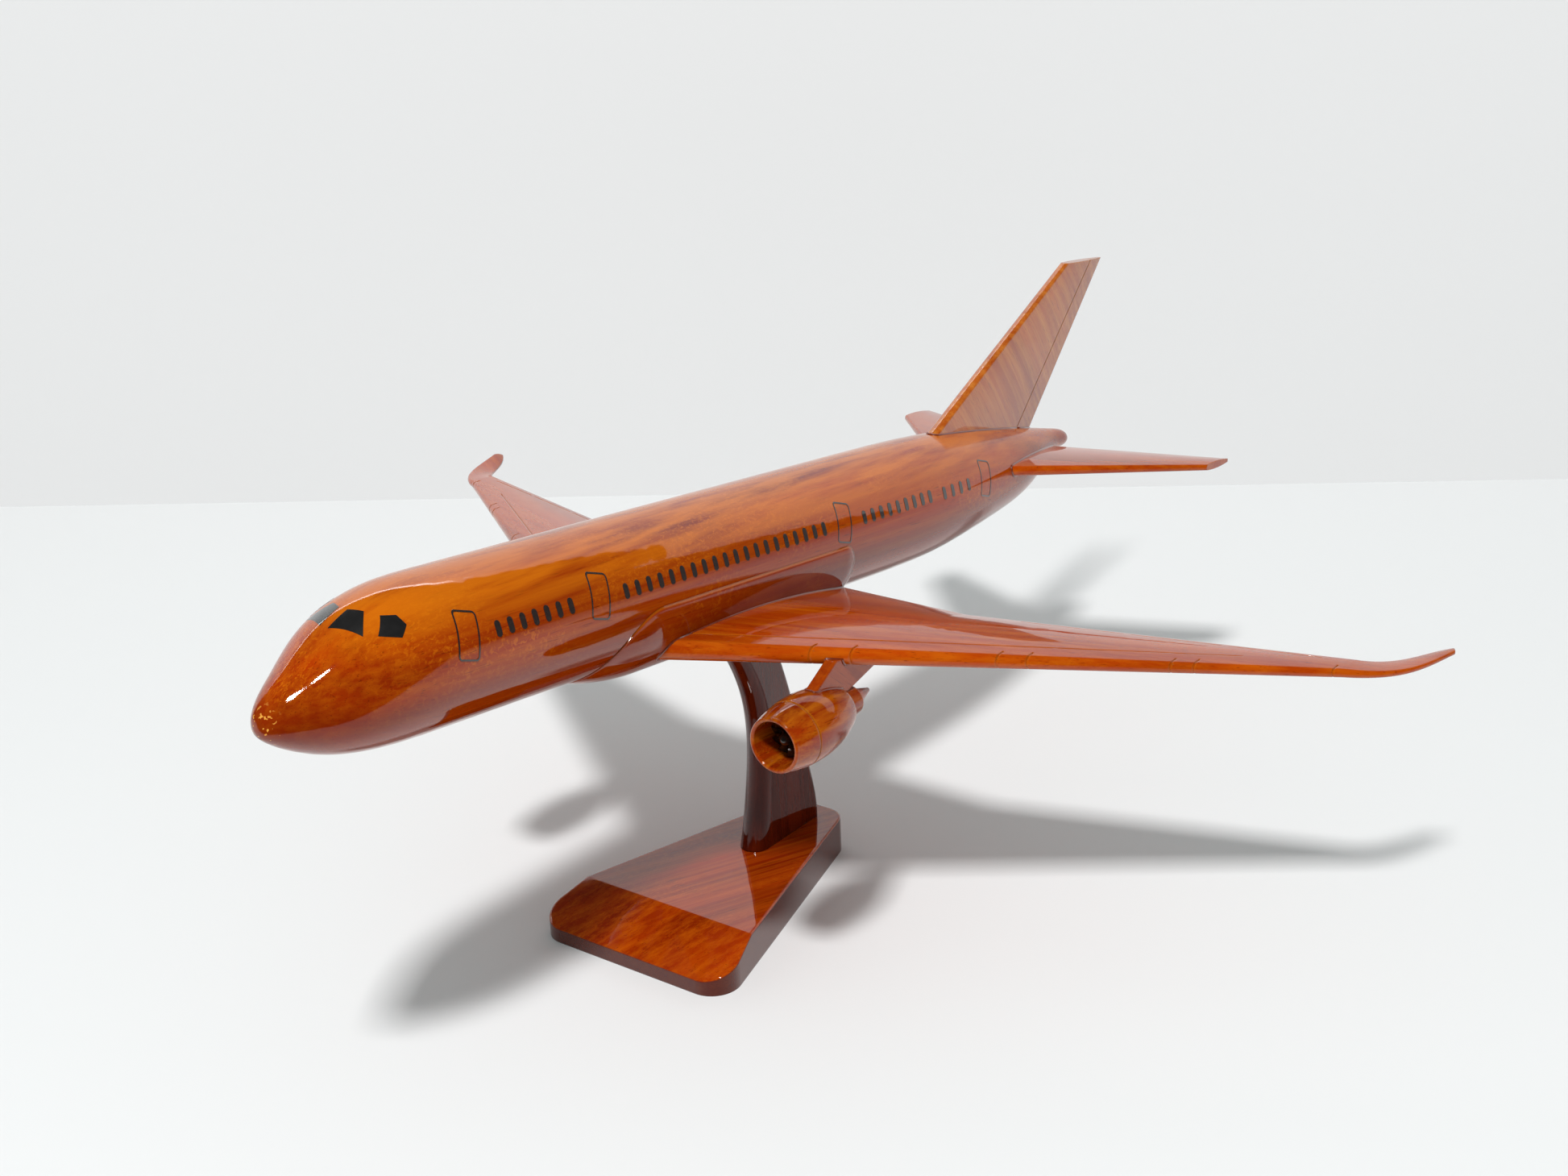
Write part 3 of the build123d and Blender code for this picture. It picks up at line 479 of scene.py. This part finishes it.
finishes = {name: lacqueredWood(name) for name in woods if name != "fuselageWood"}
finishes["fuselageWood"] = lacqueredWood("fuselageWood", wornFrom=cadLow[1])
finishes.update({name: plainFinish(name) for name in plains})
nodeFinish = {"stand_base": "baseWood", "stand_column": "columnWood", "column_screws": "zincSteel",
              "stand_peg": "birch", "fuselage": "fuselageWood", "belly_fairing": "fuselageWood",
              "fin": "finWoodPaintedHighlight", "fin_dowels": "birch", "cockpit_windows": "paneInk"}
sidedFinish = {"wing_dowels": "birch", "pylon": "pylonWood", "pylon_brads": "brass", "stabiliser": "wingWood",
               "stabiliser_dowels": "birch", "cabin_windows": "windowInk", "door_outlines": "windowInk",
               "nacelle": "engineWood", "core_nozzle": "engineWood", "exhaust_cone": "pylonWood",
               "fan": "fanMetal", "spinner": "fanMetal", "fan_brad": "brass", "wing": "wingWood"}
for part, finish in sidedFinish.items():
    nodeFinish[part + "_port"] = finish
    nodeFinish[part + "_starboard"] = "starboardWingWood" if finish == "wingWood" else finish


def dress(piece, finish):
    piece.data.materials.clear()
    piece.data.materials.append(finishes[finish])


for name, finish in nodeFinish.items():
    dress(nodes[name], finish)
print("finishes on the CAD pieces")

# the fuselage, turned as clean rings round its own sections

hull = {"rings": 150, "around": 96, "probe": 65.0, "outside": 0.08, "evenShare": 0.35, "weld": 1e-7,
        "ringSlack": 1e-6}
across = Vector((1, 0, 0))
aft = up.cross(across).normalized()
if aft.y < 0:
    aft = -aft


def surfaceOf(name):
    bm = bmesh.new()
    bm.from_mesh(nodes[name].data)
    tree = BVHTree.FromBMesh(bm)
    bm.free()
    return tree


def hullSection(surface, onAxis):
    found = []  # two points of the skin, clear of the holes; they give the middle's height and the radius
    for angle in (hull["probe"], -hull["probe"]):
        out = across * math.cos(math.radians(angle)) + up * math.sin(math.radians(angle))
        hit = surface.ray_cast(onAxis + out * hull["outside"], -out)[0]
        found.append(((hit - onAxis).dot(across), (hit - onAxis).dot(up)))
    (x1, z1), (x2, z2) = found
    middle = (x1 * x1 + z1 * z1 - x2 * x2 - z2 * z2) / (2 * (z1 - z2))
    return middle, math.hypot(x1, z1 - middle)


def hullRings(nose, tail, length):  # station, middle height and radius, closer together at both ends
    surface = surfaceOf("fuselage")
    rings = [(0.0, 0.0, 0.0)]
    for number in range(1, hull["rings"]):
        share = number / hull["rings"]
        eased = (1 - math.cos(math.pi * share)) / 2
        station = length * (hull["evenShare"] * share + (1 - hull["evenShare"]) * eased)
        rings.append((station, *hullSection(surface, nose.lerp(tail, station / length))))
    rings.append((length, 0.0, 0.0))
    return rings


def makeHull():
    points = [vert.co for vert in nodes["fuselage"].data.vertices]
    nose = min(points, key=lambda point: point.dot(aft)).copy()
    tail = max(points, key=lambda point: point.dot(aft)).copy()
    length = (tail - nose).dot(aft)
    rings = hullRings(nose, tail, length)
    bm = bmesh.new()
    line = [bm.verts.new((0, station, ring)) for station, middle, ring in rings]
    for first, second in zip(line, line[1:]):
        bm.edges.new((first, second))
    bmesh.ops.spin(bm, geom=bm.verts[:] + bm.edges[:], axis=(0, 1, 0), cent=(0, 0, 0), angle=2 * math.pi,
                   steps=hull["around"], use_merge=True)
    bmesh.ops.remove_doubles(bm, verts=bm.verts, dist=hull["weld"])
    stations = [station for station, middle, ring in rings]
    for vert in bm.verts:  # each ring is moved from the spin's axis to its own middle
        number = min(bisect_left(stations, vert.co.y - hull["ringSlack"]), len(rings) - 1)
        station, middle, ring = rings[number]
        onAxis = nose.lerp(tail, station / length)
        vert.co = onAxis + across * vert.co.x + up * (vert.co.z + middle)
    bmesh.ops.recalc_face_normals(bm, faces=bm.faces)
    skin = newPiece("fuselage_skin", bm, finishes["fuselageWood"])
    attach(skin, "aircraft")
    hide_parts("fuselage")


makeHull()
print("fuselage skin turned")

# thin beads of lacquer gathered along the glued joints

bead = {"radius": 0.00045, "facets": 2, "reach": 0.00012, "bend": 25.0, "shortest": 0.004, "weld": 2e-6}
joined = [("fin", "fuselage", "wing_mahogany")]
for side in ("_port", "_starboard"):
    joined += [("wing" + side, "belly_fairing", "wing_mahogany"),
               ("stabiliser" + side, "fuselage", "wing_mahogany"),
               ("pylon" + side, "wing" + side, "engine_mahogany"),
               ("pylon" + side, "nacelle" + side, "engine_mahogany")]


def jointChains(name, other):  # runs of sharp edges of one piece that lie on the other
    surface = surfaceOf(other)
    bm = bmesh.new()
    bm.from_mesh(nodes[name].data)
    bmesh.ops.remove_doubles(bm, verts=bm.verts, dist=bead["weld"])
    ways = {}
    for edge in bm.edges:
        if edge.calc_face_angle(0) < math.radians(bead["bend"]):
            continue
        if all(surface.find_nearest(vert.co)[3] < bead["reach"] for vert in edge.verts):
            first, second = edge.verts
            ways.setdefault(first.index, set()).add(second.index)
            ways.setdefault(second.index, set()).add(first.index)
    spots = {vert.index: vert.co.copy() for vert in bm.verts if vert.index in ways}
    bm.free()
    chains = []
    while ways:
        loose = [key for key in ways if len(ways[key]) == 1]
        here = loose[0] if loose else next(iter(ways))
        chain = [spots[here]]
        while here in ways:
            there = next(iter(ways[here]))
            for first, second in ((here, there), (there, here)):
                ways[first].discard(second)
                if not ways[first]:
                    del ways[first]
            here = there
            chain.append(spots[here])
        if sum((b - a).length for a, b in zip(chain, chain[1:])) > bead["shortest"]:
            chains.append(chain)
    return chains


def makeBead(name, other):
    line = bpy.data.curves.new("beadLine", "CURVE")
    line.dimensions = "3D"
    line.bevel_depth = bead["radius"]
    line.bevel_resolution = bead["facets"]
    line.use_fill_caps = True
    for chain in jointChains(name, other):
        closed = (chain[0] - chain[-1]).length < bead["weld"]
        points = chain[:-1] if closed else chain
        run = line.splines.new("POLY")
        run.points.add(len(points) - 1)
        run.use_cyclic_u = closed
        for point, spot in zip(run.points, points):
            point.co = (*spot, 1)
    holder = bpy.data.objects.new("beadLine", line)
    bpy.context.collection.objects.link(holder)
    mesh = bpy.data.meshes.new_from_object(holder.evaluated_get(bpy.context.evaluated_depsgraph_get()))
    bpy.data.objects.remove(holder)
    bm = bmesh.new()
    bm.from_mesh(mesh)
    bmesh.ops.recalc_face_normals(bm, faces=bm.faces)
    made = newPiece("bead_" + name + "_" + other, bm, finishes["glueLacquer"])
    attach(made, "aircraft")


for name, other, slot in joined:
    makeBead(name, other)
print("beads laid along the joints")
